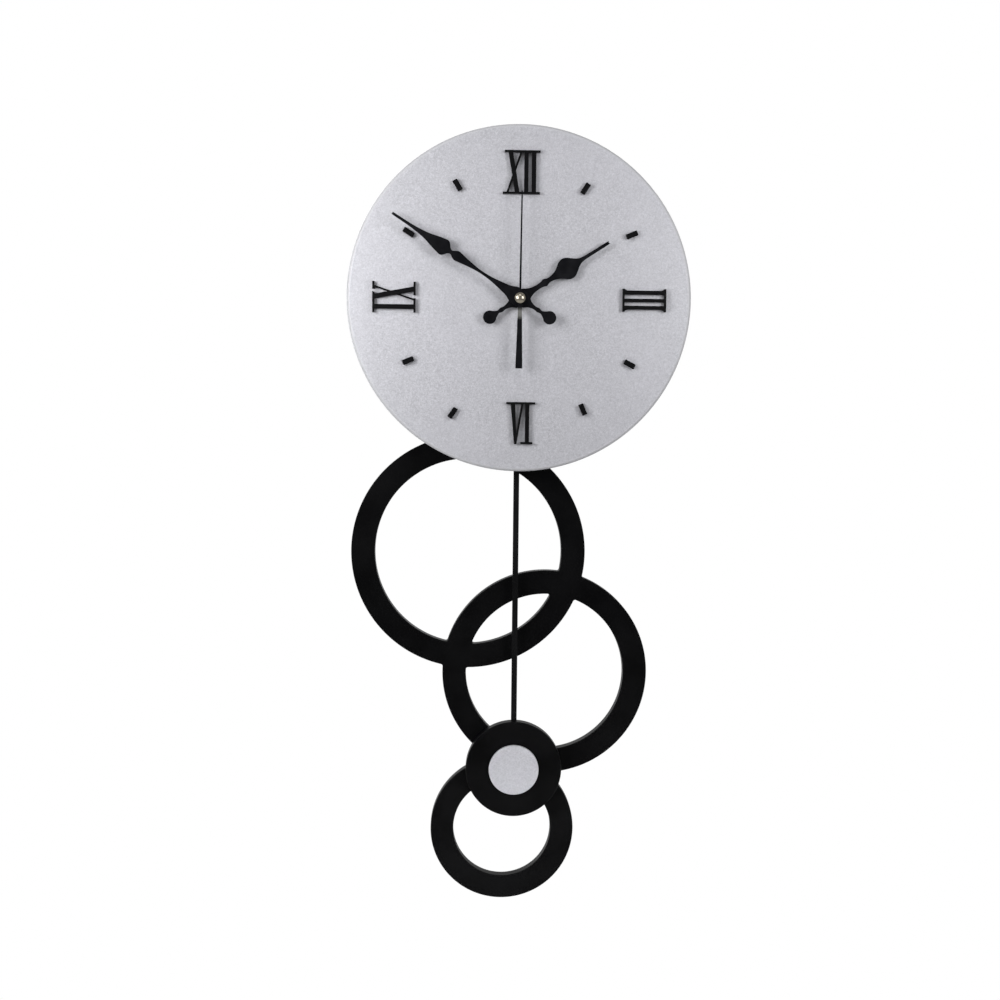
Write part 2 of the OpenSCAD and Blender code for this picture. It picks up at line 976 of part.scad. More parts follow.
// Half widths along each hand, measured from the hub: tip first, then tail.
hour_blade = [
  [5, 5.2], [8, 3.6], [11, 2.5], [14.5, 1.95], [18, 1.95], [20.3, 2.3], [22.3, 2.9], [24.3, 2.2], [26.4, 1.8],
  [29.5, 2.2], [32.8, 3.3], [35.8, 5.2], [38.7, 7.4], [42, 8.3], [45.2, 7.5], [48, 5.5], [50.7, 3.4],
  [53.5, 2], [57, 1.45], [61, 1.3], [77.7, 1.15], [78.7, 0.6]
];
minute_blade = [
  [5.4, 6.2], [10.3, 4.1], [17.5, 2.65], [26.4, 1.4], [35.5, 1.05], [44.6, 1.95], [53.6, 3.4],
  [56.4, 3.8], [58.6, 3.1], [61.4, 1.5], [63.6, 2.5], [65.4, 4.7], [67.9, 6.2], [72.6, 5.4],
  [76.8, 4.4], [82, 3], [87.2, 2.1], [94.8, 1.35], [101, 1.1], [112.9, 0.95], [113.7, 0.5]
];
tail_neck = [
  [5, 5], [7, 3.8], [9, 2.4], [12.5, 1.4], [14.6, 1.45], [16.3, 1.75], [18, 1.35], [19.6, 1.3], [22.5, 2.9]
];
tail_ball_at = 26.6;
tail_ball_r = 5;
hand_hub_r = 6.5;

module hand_shape(blade, bore) {
  difference() {
    union() {
      circle(hand_hub_r);
      polygon(both(half(concat([[0, blade[0][1]]], blade), 4)));
      rotate(180)
        polygon(both(half(concat([[0, tail_neck[0][1]]], tail_neck), 4)));
      translate([0, -tail_ball_at])
        circle(tail_ball_r);
    }
    circle(bore);
  }
}

module hour_hand() {
  color("black")
    at_hub()
      slab(hour_hand_y, hour_hand_y + hand_t)
        rotate(-hour_angle)
          hand_shape(hour_blade, hour_tube_r);
}

module minute_hand() {
  color("black")
    at_hub()
      slab(minute_hand_y, minute_hand_y + hand_t)
        rotate(-minute_angle)
          hand_shape(minute_blade, minute_tube_r);
}

second_reach = 79;
second_tail = 52.5;
cap_r = 4;
cap_t = 2;

module second_hand() {
  color("black")
    at_hub()
      difference() {
        union() {
          slab(second_hand_y, second_hand_y + 0.4)
            rotate(-second_angle)
              union() {
                circle(2.6);
                polygon([[-0.8, 0], [-0.5, second_reach], [0.5, second_reach], [0.8, 0]]);
                polygon([[-1.3, 0], [-2.6, -second_tail], [2.6, -second_tail], [1.3, 0]]);
              }
          bar([0, 0], 1.1, second_hand_y, second_hand_y + 1.6);
        }
        bar([0, 0], second_arbor_r, second_hand_y - 1, second_hand_y + 3);
      }
}

module second_hand_cap() {
  color("#d9c48a")
    at_hub()
      translate([0, second_hand_y, 0])
        rotate([90, 0, 0])
          rotate_extrude()
            intersection() {
              translate([0, cap_t - cap_ball_r])
                circle(cap_ball_r);
              square([cap_r, cap_t]);
            }
}

cap_ball_r = (cap_r * cap_r + cap_t * cap_t) / (2 * cap_t);

// ---------- pendulum ----------

arm_front = swing_y - 1.5;
arm_back = swing_y + 1.5;

module swing_arm() {
  color("#2a2a2c")
    at_hub()
      difference() {
        union() {
          slab(arm_front, arm_back)
            union() {
              translate([0, pivot_z])
                circle(3.4);
              polygon([[-3, pivot_z], [3, pivot_z], [5.6, magnet_z + 2], [5.6, magnet_z - 4],
                [3, -82], [-3, -82], [-5.6, magnet_z - 4], [-5.6, magnet_z + 2]]);
              translate([-3, -84.5])
                square([6, 3]);
            }
          slab(arm_front, rod_front)
            translate([-3, -92])
              square([6, 10]);
          bar([0, peg_z], peg_r, arm_front, arm_back);
        }
        bar([0, pivot_z], pin_r + run_gap, arm_front - 1, arm_back + 1);
        bar([0, magnet_z], 4, arm_front - 1, arm_back + 1);
      }
}

module arm_magnet() {
  color("#8c9094")
    at_hub()
      bar([0, magnet_z], 4, arm_front, arm_back);
}

rod_top = -85.5;
rod_head = 2.6;
rod_head_l = 7;
rod_neck_l = 10;
rod_sunk = 32;

module pendulum_rod() {
  color("#161616")
    at_hub()
      difference() {
        slab(rod_front, rod_back)
          polygon([
            [-rod_head, rod_top], [rod_head, rod_top], [rod_head, rod_top - rod_head_l],
            [rod_w / 2, rod_top - rod_neck_l], [rod_w / 2, -bob_drop + bob_r - rod_sunk],
            [-rod_w / 2, -bob_drop + bob_r - rod_sunk], [-rod_w / 2, rod_top - rod_neck_l],
            [-rod_head, rod_top - rod_head_l]
          ]);
        bar([0, peg_z], peg_r, rod_front - 1, rod_back + 1);
      }
}

module pendulum_bob() {
  color("#151515")
    at_hub()
      translate([0, 0, -bob_drop])
        difference() {
          rotate([90, 0, 0])
            rotate_extrude()
              polygon([
                [0, -bob_back], [bob_r, -bob_back], [bob_r, -bob_front - edge_cut],
                [bob_r - edge_cut, -bob_front], [0, -bob_front]
              ]);
          block([-rod_w / 2, rod_front, bob_r - rod_sunk], [rod_w / 2, bob_back + 1, bob_r + 1]);
        }
}

module bob_disc() {
  color("silver")
    at_hub()
      translate([0, 0, -bob_drop])
        rotate([90, 0, 0])
          rotate_extrude()
            polygon([
              [0, -bob_front], [bob_disc_r, -bob_front], [bob_disc_r, -bob_disc_front - 0.4],
              [bob_disc_r - 0.4, -bob_disc_front], [0, -bob_disc_front]
            ]);
}

// ---------- nodes ----------

dial_board();
numeral_xii();
numeral_iii();
numeral_vi();
numeral_ix();
hour_bars();
ring_frame();
spacer_block();
spacer_screws();
hanger_block();
hanger_block_screws();
hanger_plate();
hanger_plate_screws();
wall_bumpers();
case_front();
case_rear();
case_screws();
hand_bushing();
dial_washer();
fixing_nut();
wheel_plate();
bridge_plate();
stator();
coil_core_bobbin();
coil_winding();
circuit_board();
quartz_crystal();
clock_chip();
battery();
contact_plus();
contact_minus();
drive_coil();
pivot_pin();
rotor_magnet();
rotor_pinion();
intermediate_wheel();
third_wheel();
second_wheel();
centre_wheel();
motion_wheel();
hour_wheel();
set_knob();
hour_hand();
minute_hand();
second_hand();
second_hand_cap();
swing_arm();
arm_magnet();
pendulum_rod();
pendulum_bob();
bob_disc();
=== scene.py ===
# The looks of the pendulum wall clock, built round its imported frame.
# Metres, Z up, the wall is the plane Y = 0 and the clock faces -Y.

import json
import math

import bmesh
import bpy
from mathutils import Matrix, Vector


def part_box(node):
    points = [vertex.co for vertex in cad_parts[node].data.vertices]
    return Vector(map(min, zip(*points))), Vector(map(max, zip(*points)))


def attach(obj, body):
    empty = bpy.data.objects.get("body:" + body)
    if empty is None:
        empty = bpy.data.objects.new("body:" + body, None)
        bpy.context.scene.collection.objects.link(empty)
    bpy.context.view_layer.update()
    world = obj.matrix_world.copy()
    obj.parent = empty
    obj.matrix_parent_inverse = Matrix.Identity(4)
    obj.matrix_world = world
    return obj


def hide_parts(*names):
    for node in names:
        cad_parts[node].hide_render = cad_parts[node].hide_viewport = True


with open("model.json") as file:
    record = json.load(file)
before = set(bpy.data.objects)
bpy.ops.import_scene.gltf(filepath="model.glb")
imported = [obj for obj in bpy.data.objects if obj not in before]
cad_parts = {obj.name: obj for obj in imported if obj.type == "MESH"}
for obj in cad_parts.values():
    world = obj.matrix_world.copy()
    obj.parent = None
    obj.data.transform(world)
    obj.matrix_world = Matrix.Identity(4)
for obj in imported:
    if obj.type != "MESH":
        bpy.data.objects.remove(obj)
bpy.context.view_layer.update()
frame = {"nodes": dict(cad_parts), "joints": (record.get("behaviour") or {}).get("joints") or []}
nodes = frame["nodes"]
MM = 0.001

# ---------------------------------------------------------------- places from the frame

joint_at = {j["name"]: Vector(j["pos_m"]) for j in frame["joints"]}
hub = joint_at["minute_turn"]
hub_x, hub_z = hub.x, hub.z


def ends(node):
    """Front and back Y of a CAD node, in metres."""
    lo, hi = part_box(node)
    return lo.y, hi.y


def half_width(node):
    lo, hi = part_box(node)
    return (hi.x - lo.x) / 2


def middle_z(node):
    lo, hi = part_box(node)
    return (lo.z + hi.z) / 2


# ---------------------------------------------------------------- sizes of the looks

# Exact radius of the dial; the frame's box comes from a faceted circle and is a little smaller
DIAL_R = 130 * MM
# Rounding of the edges, which the lacquer fills
DIAL_ROUNDING = 2.4 * MM
RING_ROUNDING = 0.7 * MM
BOB_ROUNDING = 0.6 * MM
# Radius of the hole in the dial, hidden by the washer
DIAL_BORE = 4.2 * MM
# How far inside the dial's edge the rim turns rougher and darker in colour, and where fully so; the
# darker colour is painted shade that tones down the edge's highlight
RIM_ROUGH_SHADE_FROM = 2.6 * MM
RIM_ROUGH_SHADE_FULL = 1.6 * MM
# A painted highlight, a lighter grey band on the second hand's tail, below the hub
TAIL_HIGHLIGHT_TOP = 8.6 * MM
TAIL_HIGHLIGHT_BOTTOM = 14.6 * MM
TAIL_HIGHLIGHT_FADE = 1.6 * MM
# Length of the pale band at the battery's plus end
PLUS_BAND = 9 * MM
# Scale of the wave texture on the coils, which makes one band 0.69 mm wide
COIL_SCALE = 454.74182
# Where nearly all values of a noise lie
NOISE_LOW, NOISE_HIGH = 0.3, 0.7
# Points nearer than this, in metres, are one: in a new shape, and on a CAD piece to be rounded
SAME = 1e-7
SAME_ON_CAD = 1e-6


# ---------------------------------------------------------------- material building


class Surface:
    """A node material on one Principled shader, with short ways to add nodes."""

    def __init__(
        self, name, color, roughness, metallic=0.0, coat=0.0, coat_roughness=0.1, specular=0.5
    ):
        self.mat = bpy.data.materials.new(name)
        self.mat.use_nodes = True
        self.tree = self.mat.node_tree
        self.bsdf = self.tree.nodes["Principled BSDF"]
        self.bsdf.inputs["Base Color"].default_value = (*color, 1)
        self.bsdf.inputs["Roughness"].default_value = roughness
        self.bsdf.inputs["Metallic"].default_value = metallic
        self.bsdf.inputs["Coat Weight"].default_value = coat
        self.bsdf.inputs["Coat Roughness"].default_value = coat_roughness
        self.bsdf.inputs["Specular IOR Level"].default_value = specular
        self.coord = self.tree.nodes.new("ShaderNodeTexCoord").outputs["Object"]
        self.bumped = None

    def node(self, kind, **settings):
        n = self.tree.nodes.new("ShaderNode" + kind)
        for key, value in settings.items():
            setattr(n, key, value)
        return n

    def link(self, a, b):
        self.tree.links.new(a, b)

    def stretched(self, sx, sy, sz):
        """Object coordinates scaled separately along each axis."""
        m = self.node("Mapping")
        m.inputs["Scale"].default_value = (sx, sy, sz)
        self.link(self.coord, m.inputs["Vector"])
        return m.outputs["Vector"]

    def noise(self, size, detail=3.0, rough=0.55, vector=None):
        """Noise whose features are about size metres across."""
        n = self.node("TexNoise")
        n.inputs["Scale"].default_value = 1 / size
        n.inputs["Detail"].default_value = detail
        n.inputs["Roughness"].default_value = rough
        self.link(vector or self.coord, n.inputs["Vector"])
        return n.outputs["Fac"]

    def cells(self, size):
        """Cells about size metres across, each with a random colour."""
        n = self.node("TexVoronoi")
        n.inputs["Scale"].default_value = 1 / size
        self.link(self.coord, n.inputs["Vector"])
        return n.outputs["Color"]

    def grey(self, socket):
        n = self.node("RGBToBW")
        self.link(socket, n.inputs[0])
        return n.outputs[0]

    def spread(self, socket, lo, hi, out_lo, out_hi):
        """Maps lo to out_lo and hi to out_hi, clamped at both."""
        n = self.node("MapRange")
        ramp = (("From Min", lo), ("From Max", hi), ("To Min", out_lo), ("To Max", out_hi))
        for key, value in ramp:
            n.inputs[key].default_value = value
        self.link(socket, n.inputs["Value"])
        return n.outputs["Result"]

    def vary(self, noise, out_lo, out_hi):
        """Maps the usual range of a noise to out_lo and out_hi."""
        return self.spread(noise, NOISE_LOW, NOISE_HIGH, out_lo, out_hi)

    def maths(self, kind, a, b):
        """One math node on two values, each a number or a socket."""
        n = self.node("Math", operation=kind)
        for i, v in enumerate((a, b)):
            if isinstance(v, (int, float)):
                n.inputs[i].default_value = v
            else:
                self.link(v, n.inputs[i])
        return n.outputs[0]

    def blend(self, factor, a, b):
        """Mix of two colours, each a tuple or a socket."""
        n = self.node("Mix", data_type="RGBA")
        self.link(factor, n.inputs[0])
        for i, c in ((6, a), (7, b)):
            if isinstance(c, tuple):
                n.inputs[i].default_value = (*c, 1)
            else:
                self.link(c, n.inputs[i])
        return n.outputs[2]

    def axes(self):
        """The X, Y and Z of the object coordinates, as named sockets."""
        split = self.node("SeparateXYZ")
        self.link(self.coord, split.inputs[0])
        return split.outputs

    def from_hub(self):
        """Distance from the line through the hub, in metres."""
        axes = self.axes()
        squares = []
        for axis, middle in (("X", hub_x), ("Z", hub_z)):
            d = self.maths("SUBTRACT", axes[axis], middle)
            squares.append(self.maths("MULTIPLY", d, d))
        return self.maths("SQRT", self.maths("ADD", *squares), 0)

    def color(self, socket):
        self.link(socket, self.bsdf.inputs["Base Color"])

    def rough(self, socket):
        self.link(socket, self.bsdf.inputs["Roughness"])

    def bump(self, height, depth, strength=1.0):
        """Adds a bump layer whose full height is depth metres."""
        n = self.node("Bump")
        n.inputs["Distance"].default_value = depth
        n.inputs["Strength"].default_value = strength
        self.link(height, n.inputs["Height"])
        if self.bumped:
            self.link(self.bumped, n.inputs["Normal"])
        self.bumped = n.outputs["Normal"]
        self.link(self.bumped, self.bsdf.inputs["Normal"])


def silver_lacquer(name="silver_lacquer", rim=0.0):
    """Silver paint with metal flakes; rim is the radius of an edge made rougher, with its colour
    darkened as painted shade against the edge's highlight.
    """
    s = Surface(name, (0.5, 0.5, 0.53), 0.45, metallic=0.45, coat=0.15, coat_roughness=0.3)
    flakes = s.grey(s.cells(0.55 * MM))
    fine = s.grey(s.cells(1.1 * MM))
    mottled = s.noise(2.2 * MM, 4)
    broad = s.noise(70 * MM, 2)
    mix = s.maths("ADD", s.maths("MULTIPLY", flakes, 0.5), s.maths("MULTIPLY", fine, 0.3))
    mix = s.maths("ADD", mix, s.maths("MULTIPLY", mottled, 0.35))
    shade = s.blend(s.spread(mix, 0.25, 0.9, 0, 1), (0.40, 0.40, 0.43), (0.60, 0.60, 0.635))
    shade = s.blend(s.spread(broad, 0.35, 0.65, 0, 0.25), shade, (0.56, 0.555, 0.60))
    polish = s.spread(mix, 0.3, 0.9, 0.36, 0.56)
    if rim:
        # Towards the rim the paint turns rougher and its colour darker: painted shade that tones
        # down the highlight on the rounded edge.
        rim_rough_and_shade = s.spread(s.from_hub(), rim - RIM_ROUGH_SHADE_FROM, rim - RIM_ROUGH_SHADE_FULL, 0, 1)
        shade = s.blend(rim_rough_and_shade, shade, (0.48, 0.48, 0.5))
        polish = s.maths("ADD", polish, s.maths("MULTIPLY", rim_rough_and_shade, 0.4))
    s.color(shade)
    s.rough(polish)
    s.bump(flakes, 0.02 * MM, 0.35)
    s.bump(mottled, 0.05 * MM, 0.35)
    return s.mat


def black_lacquer(name="black_lacquer", color=(0.0011, 0.0011, 0.0013), dust=0.009):
    """Satin black sprayed on board: orange peel, rubbed patches and a little dust."""
    s = Surface(name, color, 0.4, specular=0.08)
    peel = s.noise(1.6 * MM, 2)
    pores = s.noise(0.45 * MM, 4, 0.7)
    rubbed = s.noise(32 * MM, 4)
    specks = s.spread(s.noise(0.8 * MM, 1), 0.74, 0.8, 0, 1)
    tone = s.blend(s.spread(rubbed, 0.35, 0.7, 0, 1), color, tuple(1.7 * c for c in color))
    s.color(s.blend(s.maths("MULTIPLY", specks, 0.5), tone, (dust, dust, dust)))
    s.rough(s.vary(rubbed, 0.34, 0.5))
    s.bump(peel, 0.03 * MM, 0.5)
    s.bump(pores, 0.015 * MM, 0.4)
    return s.mat


def cut_plastic():
    """Sheet plastic cut to shape: smooth face, fine scratches."""
    s = Surface("cut_plastic", (0.0025, 0.0025, 0.003), 0.3, specular=0.13)
    scratch = s.noise(3 * MM, 5, 0.7, s.stretched(1, 1, 6))
    haze = s.noise(9 * MM, 3)
    hazy = s.spread(haze, 0.35, 0.7, 0, 1)
    s.color(s.blend(hazy, (0.002, 0.002, 0.0024), (0.0035, 0.0035, 0.004)))
    s.rough(s.vary(scratch, 0.26, 0.42))
    s.bump(scratch, 0.01 * MM, 0.3)
    return s.mat


def hand_enamel(name="hand_enamel", highlight_span=None):
    """Stamped aluminium with black enamel; the optional span is a Z range where a lighter grey is
    painted as a highlight.
    """
    s = Surface(name, (0.003, 0.003, 0.004), 0.34, specular=0.15)
    grain = s.noise(0.5 * MM, 3)
    drift = s.noise(8 * MM, 3)
    drifted = s.spread(drift, 0.35, 0.7, 0, 1)
    enamel = s.blend(drifted, (0.002, 0.002, 0.003), (0.0045, 0.0045, 0.006))
    if highlight_span:
        height = s.axes()["Z"]
        ragged = s.maths("ADD", height, s.vary(grain, -0.3 * MM, 0.3 * MM))
        above = s.spread(ragged, highlight_span[0] - TAIL_HIGHLIGHT_FADE, highlight_span[0] + TAIL_HIGHLIGHT_FADE, 0, 1)
        below = s.spread(ragged, highlight_span[1] - TAIL_HIGHLIGHT_FADE, highlight_span[1] + TAIL_HIGHLIGHT_FADE, 1, 0)
        # A lighter grey in place of the black: a painted highlight on the tail.
        metal = s.blend(grain, (0.10, 0.10, 0.094), (0.15, 0.15, 0.143))
        enamel = s.blend(s.maths("MULTIPLY", above, below), enamel, metal)
    s.color(enamel)
    s.rough(s.vary(drift, 0.28, 0.44))
    s.bump(grain, 0.008 * MM, 0.4)
    return s.mat


def turned_metal(name, color, roughness, uneven=0.12):
    """Plated or turned metal with fine irregular polish."""
    s = Surface(name, color, roughness, metallic=1.0)
    lines = s.noise(0.6 * MM, 4, 0.7)
    patches = s.noise(5 * MM, 3)
    s.color(s.blend(s.vary(patches, 0, 1), tuple(0.86 * c for c in color), color))
    s.rough(s.vary(lines, roughness - uneven / 2, roughness + uneven))
    s.bump(lines, 0.006 * MM, 0.35)
    return s.mat


def fibreboard():
    """Bare medium-density fibreboard: pressed fibres and darker stains."""
    s = Surface("fibreboard", (0.38, 0.25, 0.14), 0.8)
    fibres = s.noise(1.4 * MM, 6, 0.75, s.stretched(1, 1, 2.5))
    flecks = s.noise(0.5 * MM, 3)
    stain = s.noise(20 * MM, 3)
    tone = s.blend(s.vary(fibres, 0, 1), (0.26, 0.165, 0.09), (0.46, 0.32, 0.19))
    s.color(s.blend(s.spread(stain, 0.3, 0.75, 0, 0.35), tone, (0.30, 0.19, 0.105)))
    s.rough(s.vary(flecks, 0.72, 0.9))
    s.bump(fibres, 0.12 * MM, 0.5)
    return s.mat


def moulded_plastic(name, color, roughness, light):
    """Moulded plastic with an eroded-tool texture; light is how much paler its flow marks are."""
    s = Surface(name, color, roughness)
    texture = s.noise(0.45 * MM, 3, 0.6)
    flow = s.noise(14 * MM, 3)
    s.color(s.blend(s.vary(flow, 0, 1), color, tuple(light * c for c in color)))
    s.rough(s.vary(texture, roughness - 0.08, roughness + 0.14))
    s.bump(texture, 0.03 * MM, 0.5)
    return s.mat


def soft_rubber():
    """Clear grey rubber with a little dirt."""
    s = Surface("soft_rubber", (0.66, 0.66, 0.63), 0.5)
    skin = s.noise(0.9 * MM, 3)
    dirt = s.noise(4 * MM, 4)
    s.color(s.blend(s.spread(dirt, 0.45, 0.8, 0, 1), (0.68, 0.68, 0.65), (0.46, 0.45, 0.42)))
    s.rough(s.vary(skin, 0.42, 0.62))
    s.bump(skin, 0.04 * MM, 0.5)
    return s.mat


def wound_copper(axis):
    """Enamelled wire laid side by side; axis is the way the turns follow each other."""
    s = Surface("wound_copper_" + axis, (0.5, 0.17, 0.07), 0.32, metallic=0.85)
    n = s.node("TexWave", bands_direction=axis)
    n.inputs["Scale"].default_value = COIL_SCALE
    n.inputs["Distortion"].default_value = 0.4
    s.link(s.coord, n.inputs["Vector"])
    turns = n.outputs["Fac"]
    # The colour darkens in the grooves between turns and brightens on their crests: painted shade
    # and painted highlight.
    s.color(s.blend(turns, (0.22, 0.06, 0.025), (0.62, 0.24, 0.10)))
    s.rough(s.vary(s.noise(2 * MM), 0.25, 0.4))
    s.bump(turns, 0.08 * MM, 0.8)
    return s.mat


def solder_mask():
    """Green board with lighter copper tracks under the mask."""
    s = Surface("solder_mask", (0.02, 0.13, 0.06), 0.35, coat=0.3)
    n = s.node("TexBrick")
    n.inputs["Scale"].default_value = 260
    n.inputs["Mortar Size"].default_value = 0.018
    s.link(s.stretched(1, 1, 1.3), n.inputs["Vector"])
    tracks = n.outputs["Fac"]
    tone = s.blend(s.noise(1.5 * MM), (0.015, 0.11, 0.045), (0.03, 0.17, 0.075))
    s.color(s.blend(tracks, tone, (0.05, 0.26, 0.12)))
    s.rough(s.vary(s.noise(0.8 * MM), 0.28, 0.42))
    s.bump(tracks, 0.04 * MM, 0.5)
    return s.mat


def battery_jacket(x_change):
    """Plain foil jacket, dark with a paler end towards the plus pole."""
    s = Surface("battery_jacket", (0.1, 0.12, 0.15), 0.3, metallic=0.7, coat=0.3)
    end = s.spread(s.axes()["X"], x_change - 0.1 * MM, x_change + 0.1 * MM, 0, 1)
    wear = s.noise(3 * MM, 5)
    dark = s.blend(s.vary(wear, 0, 1), (0.05, 0.06, 0.08), (0.09, 0.11, 0.14))
    s.color(s.blend(end, dark, (0.62, 0.46, 0.26)))
    s.rough(s.vary(wear, 0.22, 0.4))
    s.bump(wear, 0.01 * MM, 0.3)
    return s.mat


SILVER = silver_lacquer()
DIAL_SILVER = silver_lacquer("dial_lacquer", DIAL_R)
BLACK = black_lacquer()
ROD = black_lacquer("rod_lacquer", (0.0035, 0.0035, 0.0038), 0.02)
PLASTIC = cut_plastic()
ENAMEL = hand_enamel()
# The second hand's enamel, with a painted highlight on its tail below the hub
TAIL_HIGHLIGHT_ENAMEL = hand_enamel("enamel_tail_highlight", (hub_z - TAIL_HIGHLIGHT_BOTTOM, hub_z - TAIL_HIGHLIGHT_TOP))
CAP = turned_metal("pale_brass", (0.42, 0.38, 0.31), 0.3)
BRASS = turned_metal("brass", (0.70, 0.48, 0.18), 0.26)
ZINC = turned_metal("zinc_plate", (0.58, 0.60, 0.62), 0.3)
CORE = turned_metal("core_steel", (0.36, 0.37, 0.39), 0.42)
MAGNET = turned_metal("magnet", (0.22, 0.22, 0.23), 0.5)
BOARD = fibreboard()
CASE = moulded_plastic("case_plastic", (0.016, 0.016, 0.018), 0.48, 1.6)
ACETAL = moulded_plastic("acetal", (0.74, 0.73, 0.69), 0.4, 1.08)
RUBBER = soft_rubber()

# ---------------------------------------------------------------- shape building


def smoothed(obj, angle=40):
    """Smooth shading with sharp edges kept and large faces left flat."""
    me = obj.data
    me.shade_smooth()
    me.set_sharp_from_angle(angle=math.radians(angle))
    w = obj.modifiers.new("flat_faces", "WEIGHTED_NORMAL")
    w.keep_sharp = True
    w.weight = 100
    return obj


def placed(name, mesh, material, body, slot, *stands_for):
    """Links a finished mesh as a piece of the clock."""
    obj = bpy.data.objects.new(name, mesh)
    bpy.context.scene.collection.objects.link(obj)
    mesh.materials.clear()
    mesh.materials.append(material)
    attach(obj, body)
    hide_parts(*stands_for)
    return obj


def plate_mesh(name, loops, front, back, edge, steps=4):
    """A board with outlines in X and Z, cut through and rounded by edge on both faces."""
    curve = bpy.data.curves.new(name, "CURVE")
    curve.dimensions = "2D"
    curve.fill_mode = "BOTH"
    curve.extrude = (back - front) / 2 - edge
    curve.bevel_depth = edge
    curve.bevel_resolution = steps
    curve.offset = -edge
    for loop in loops:
        sp = curve.splines.new("POLY")
        sp.points.add(len(loop) - 1)
        for p, (x, z) in zip(sp.points, loop):
            p.co = (x, z, 0, 1)
        sp.use_cyclic_u = True
    obj = bpy.data.objects.new(name, curve)
    bpy.context.scene.collection.objects.link(obj)
    dg = bpy.context.evaluated_depsgraph_get()
    dg.update()
    mesh = bpy.data.meshes.new_from_object(obj.evaluated_get(dg))
    bpy.data.objects.remove(obj)
    mesh.transform(Matrix.Rotation(math.pi / 2, 4, "X"))
    mesh.transform(Matrix.Translation((0, (front + back) / 2, 0)))
    bm = bmesh.new()
    bm.from_mesh(mesh)
    bmesh.ops.remove_doubles(bm, verts=bm.verts, dist=SAME)
    bmesh.ops.dissolve_degenerate(bm, edges=bm.edges, dist=SAME)
    bmesh.ops.recalc_face_normals(bm, faces=bm.faces)
    bm.to_mesh(mesh)
    bm.free()
    mesh.name = name
    return mesh


def lathe_mesh(name, profile, x, z, steps=128):
    """Turns (radius, y) points about a line along Y through (x, z)."""
    bm = bmesh.new()
    rings = []
    for r, y in profile:
        if r < SAME:
            rings.append([bm.verts.new((x, y, z))])
            continue
        rings.append(
            [
                bm.verts.new((x + r * math.sin(a), y, z + r * math.cos(a)))
                for a in (2 * math.pi * i / steps for i in range(steps))
            ]
        )
    for a, b in zip(rings, rings[1:]):
        for i in range(steps):
            j = (i + 1) % steps
            corners = [a[i % len(a)], a[j % len(a)], b[j % len(b)], b[i % len(b)]]
            face = list(dict.fromkeys(corners))
            if len(face) > 2:
                bm.faces.new(face)
    bmesh.ops.recalc_face_normals(bm, faces=bm.faces)
    mesh = bpy.data.meshes.new(name)
    bm.to_mesh(mesh)
    bm.free()
    return mesh


def rounded_profile(r, front, back, edge, inner=0.0, steps=5):
    """Section of a disc with both rims rounded, from the front middle to the back middle."""
    pts = [(inner, front)]
    for i in range(steps + 1):
        a = math.pi / 2 * i / steps
        pts.append((r - edge + edge * math.sin(a), front + edge - edge * math.cos(a)))
    for i in range(steps + 1):
        a = math.pi / 2 * i / steps
        pts.append((r - edge + edge * math.cos(a), back - edge + edge * math.sin(a)))
    pts.append((inner, back))
    if inner:
        pts.append((inner, front))
    return pts


# ---- circles and their rounded crossings


def meet(a, ra, b, rb, side):
    """Where circles about a and b cross, on the +1 or the -1 side of the line from a to b."""
    d = b - a
    gap = d.length
    along = (gap * gap + ra * ra - rb * rb) / (2 * gap)
    aside = math.sqrt(ra * ra - along * along)
    u = d / gap
    return a + along * u + side * aside * Vector((-u.y, u.x))


class Corner:
    """A round of radius r where circles a and b meet.

    open_a and open_b are 1 where the free side is outside the circle and -1 where it is inside.
    """

    def __init__(self, a, ra, open_a, b, rb, open_b, side, r):
        self.mid = meet(a, ra + open_a * r, b, rb + open_b * r, side)
        self.on_a = self.mid - open_a * r * (self.mid - a).normalized()
        self.on_b = self.mid - open_b * r * (self.mid - b).normalized()
        self.r = r


def arc(centre, start, end, turn, step):
    """Points on a circle from start to end, turning by +1 or -1, without the end point."""
    r = (start - centre).length
    a0 = math.atan2(start.y - centre.y, start.x - centre.x)
    a1 = math.atan2(end.y - centre.y, end.x - centre.x)
    sweep = (a1 - a0) * turn % (2 * math.pi) * turn
    count = max(3, int(abs(sweep) * r / step))
    return [
        centre + r * Vector((math.cos(a0 + sweep * i / count), math.sin(a0 + sweep * i / count)))
        for i in range(count)
    ]


def corner_arc(corner, start, end):
    """The short way round a corner."""
    cross = (start - corner.mid).cross(end - corner.mid)
    return arc(corner.mid, start, end, 1 if cross > 0 else -1, corner.r / 5)


def full_circle(centre, r, step):
    """Points about step apart round a whole circle."""
    count = int(2 * math.pi * r / step)
    return [
        centre + r * Vector((math.cos(2 * math.pi * i / count), math.sin(2 * math.pi * i / count)))
        for i in range(count)
    ]


# ---------------------------------------------------------------- dial


def disc_piece(name, r, front, back, edge, z, material, body, slot, node, inner=0.0):
    """A turned disc in place of a CAD node, with its rims rounded by edge."""
    profile = rounded_profile(r, front, back, edge, inner)
    piece = placed(name, lathe_mesh(name, profile, hub_x, z, 256), material, body, slot, node)
    return smoothed(piece)


dial_front, dial_back = ends("dial_board")
disc_piece(
    "dial", DIAL_R, dial_front, dial_back, DIAL_ROUNDING, hub_z, DIAL_SILVER,
    "clock", "dial_silver", "dial_board", DIAL_BORE,
)

# ---------------------------------------------------------------- ring board


class Ring:
    """One ring of the board, from millimetres: centre from the hub, outer radius and band width."""

    def __init__(self, x, z, outer, width):
        self.at = Vector((hub_x + x * MM, hub_z + z * MM))
        self.outer = outer * MM
        self.inner = (outer - width) * MM


TOP = Ring(-36.8, -194.6, 91.5, 18.5)
MIDDLE = Ring(24.1, -289.5, 80.5, 18.5)
LOW = Ring(-8.4, -414.9, 56.5, 18)
# Radius of the rounds where bands meet, and the length of the outline's steps
ROUND = 1.6 * MM
STEP = 1.1 * MM


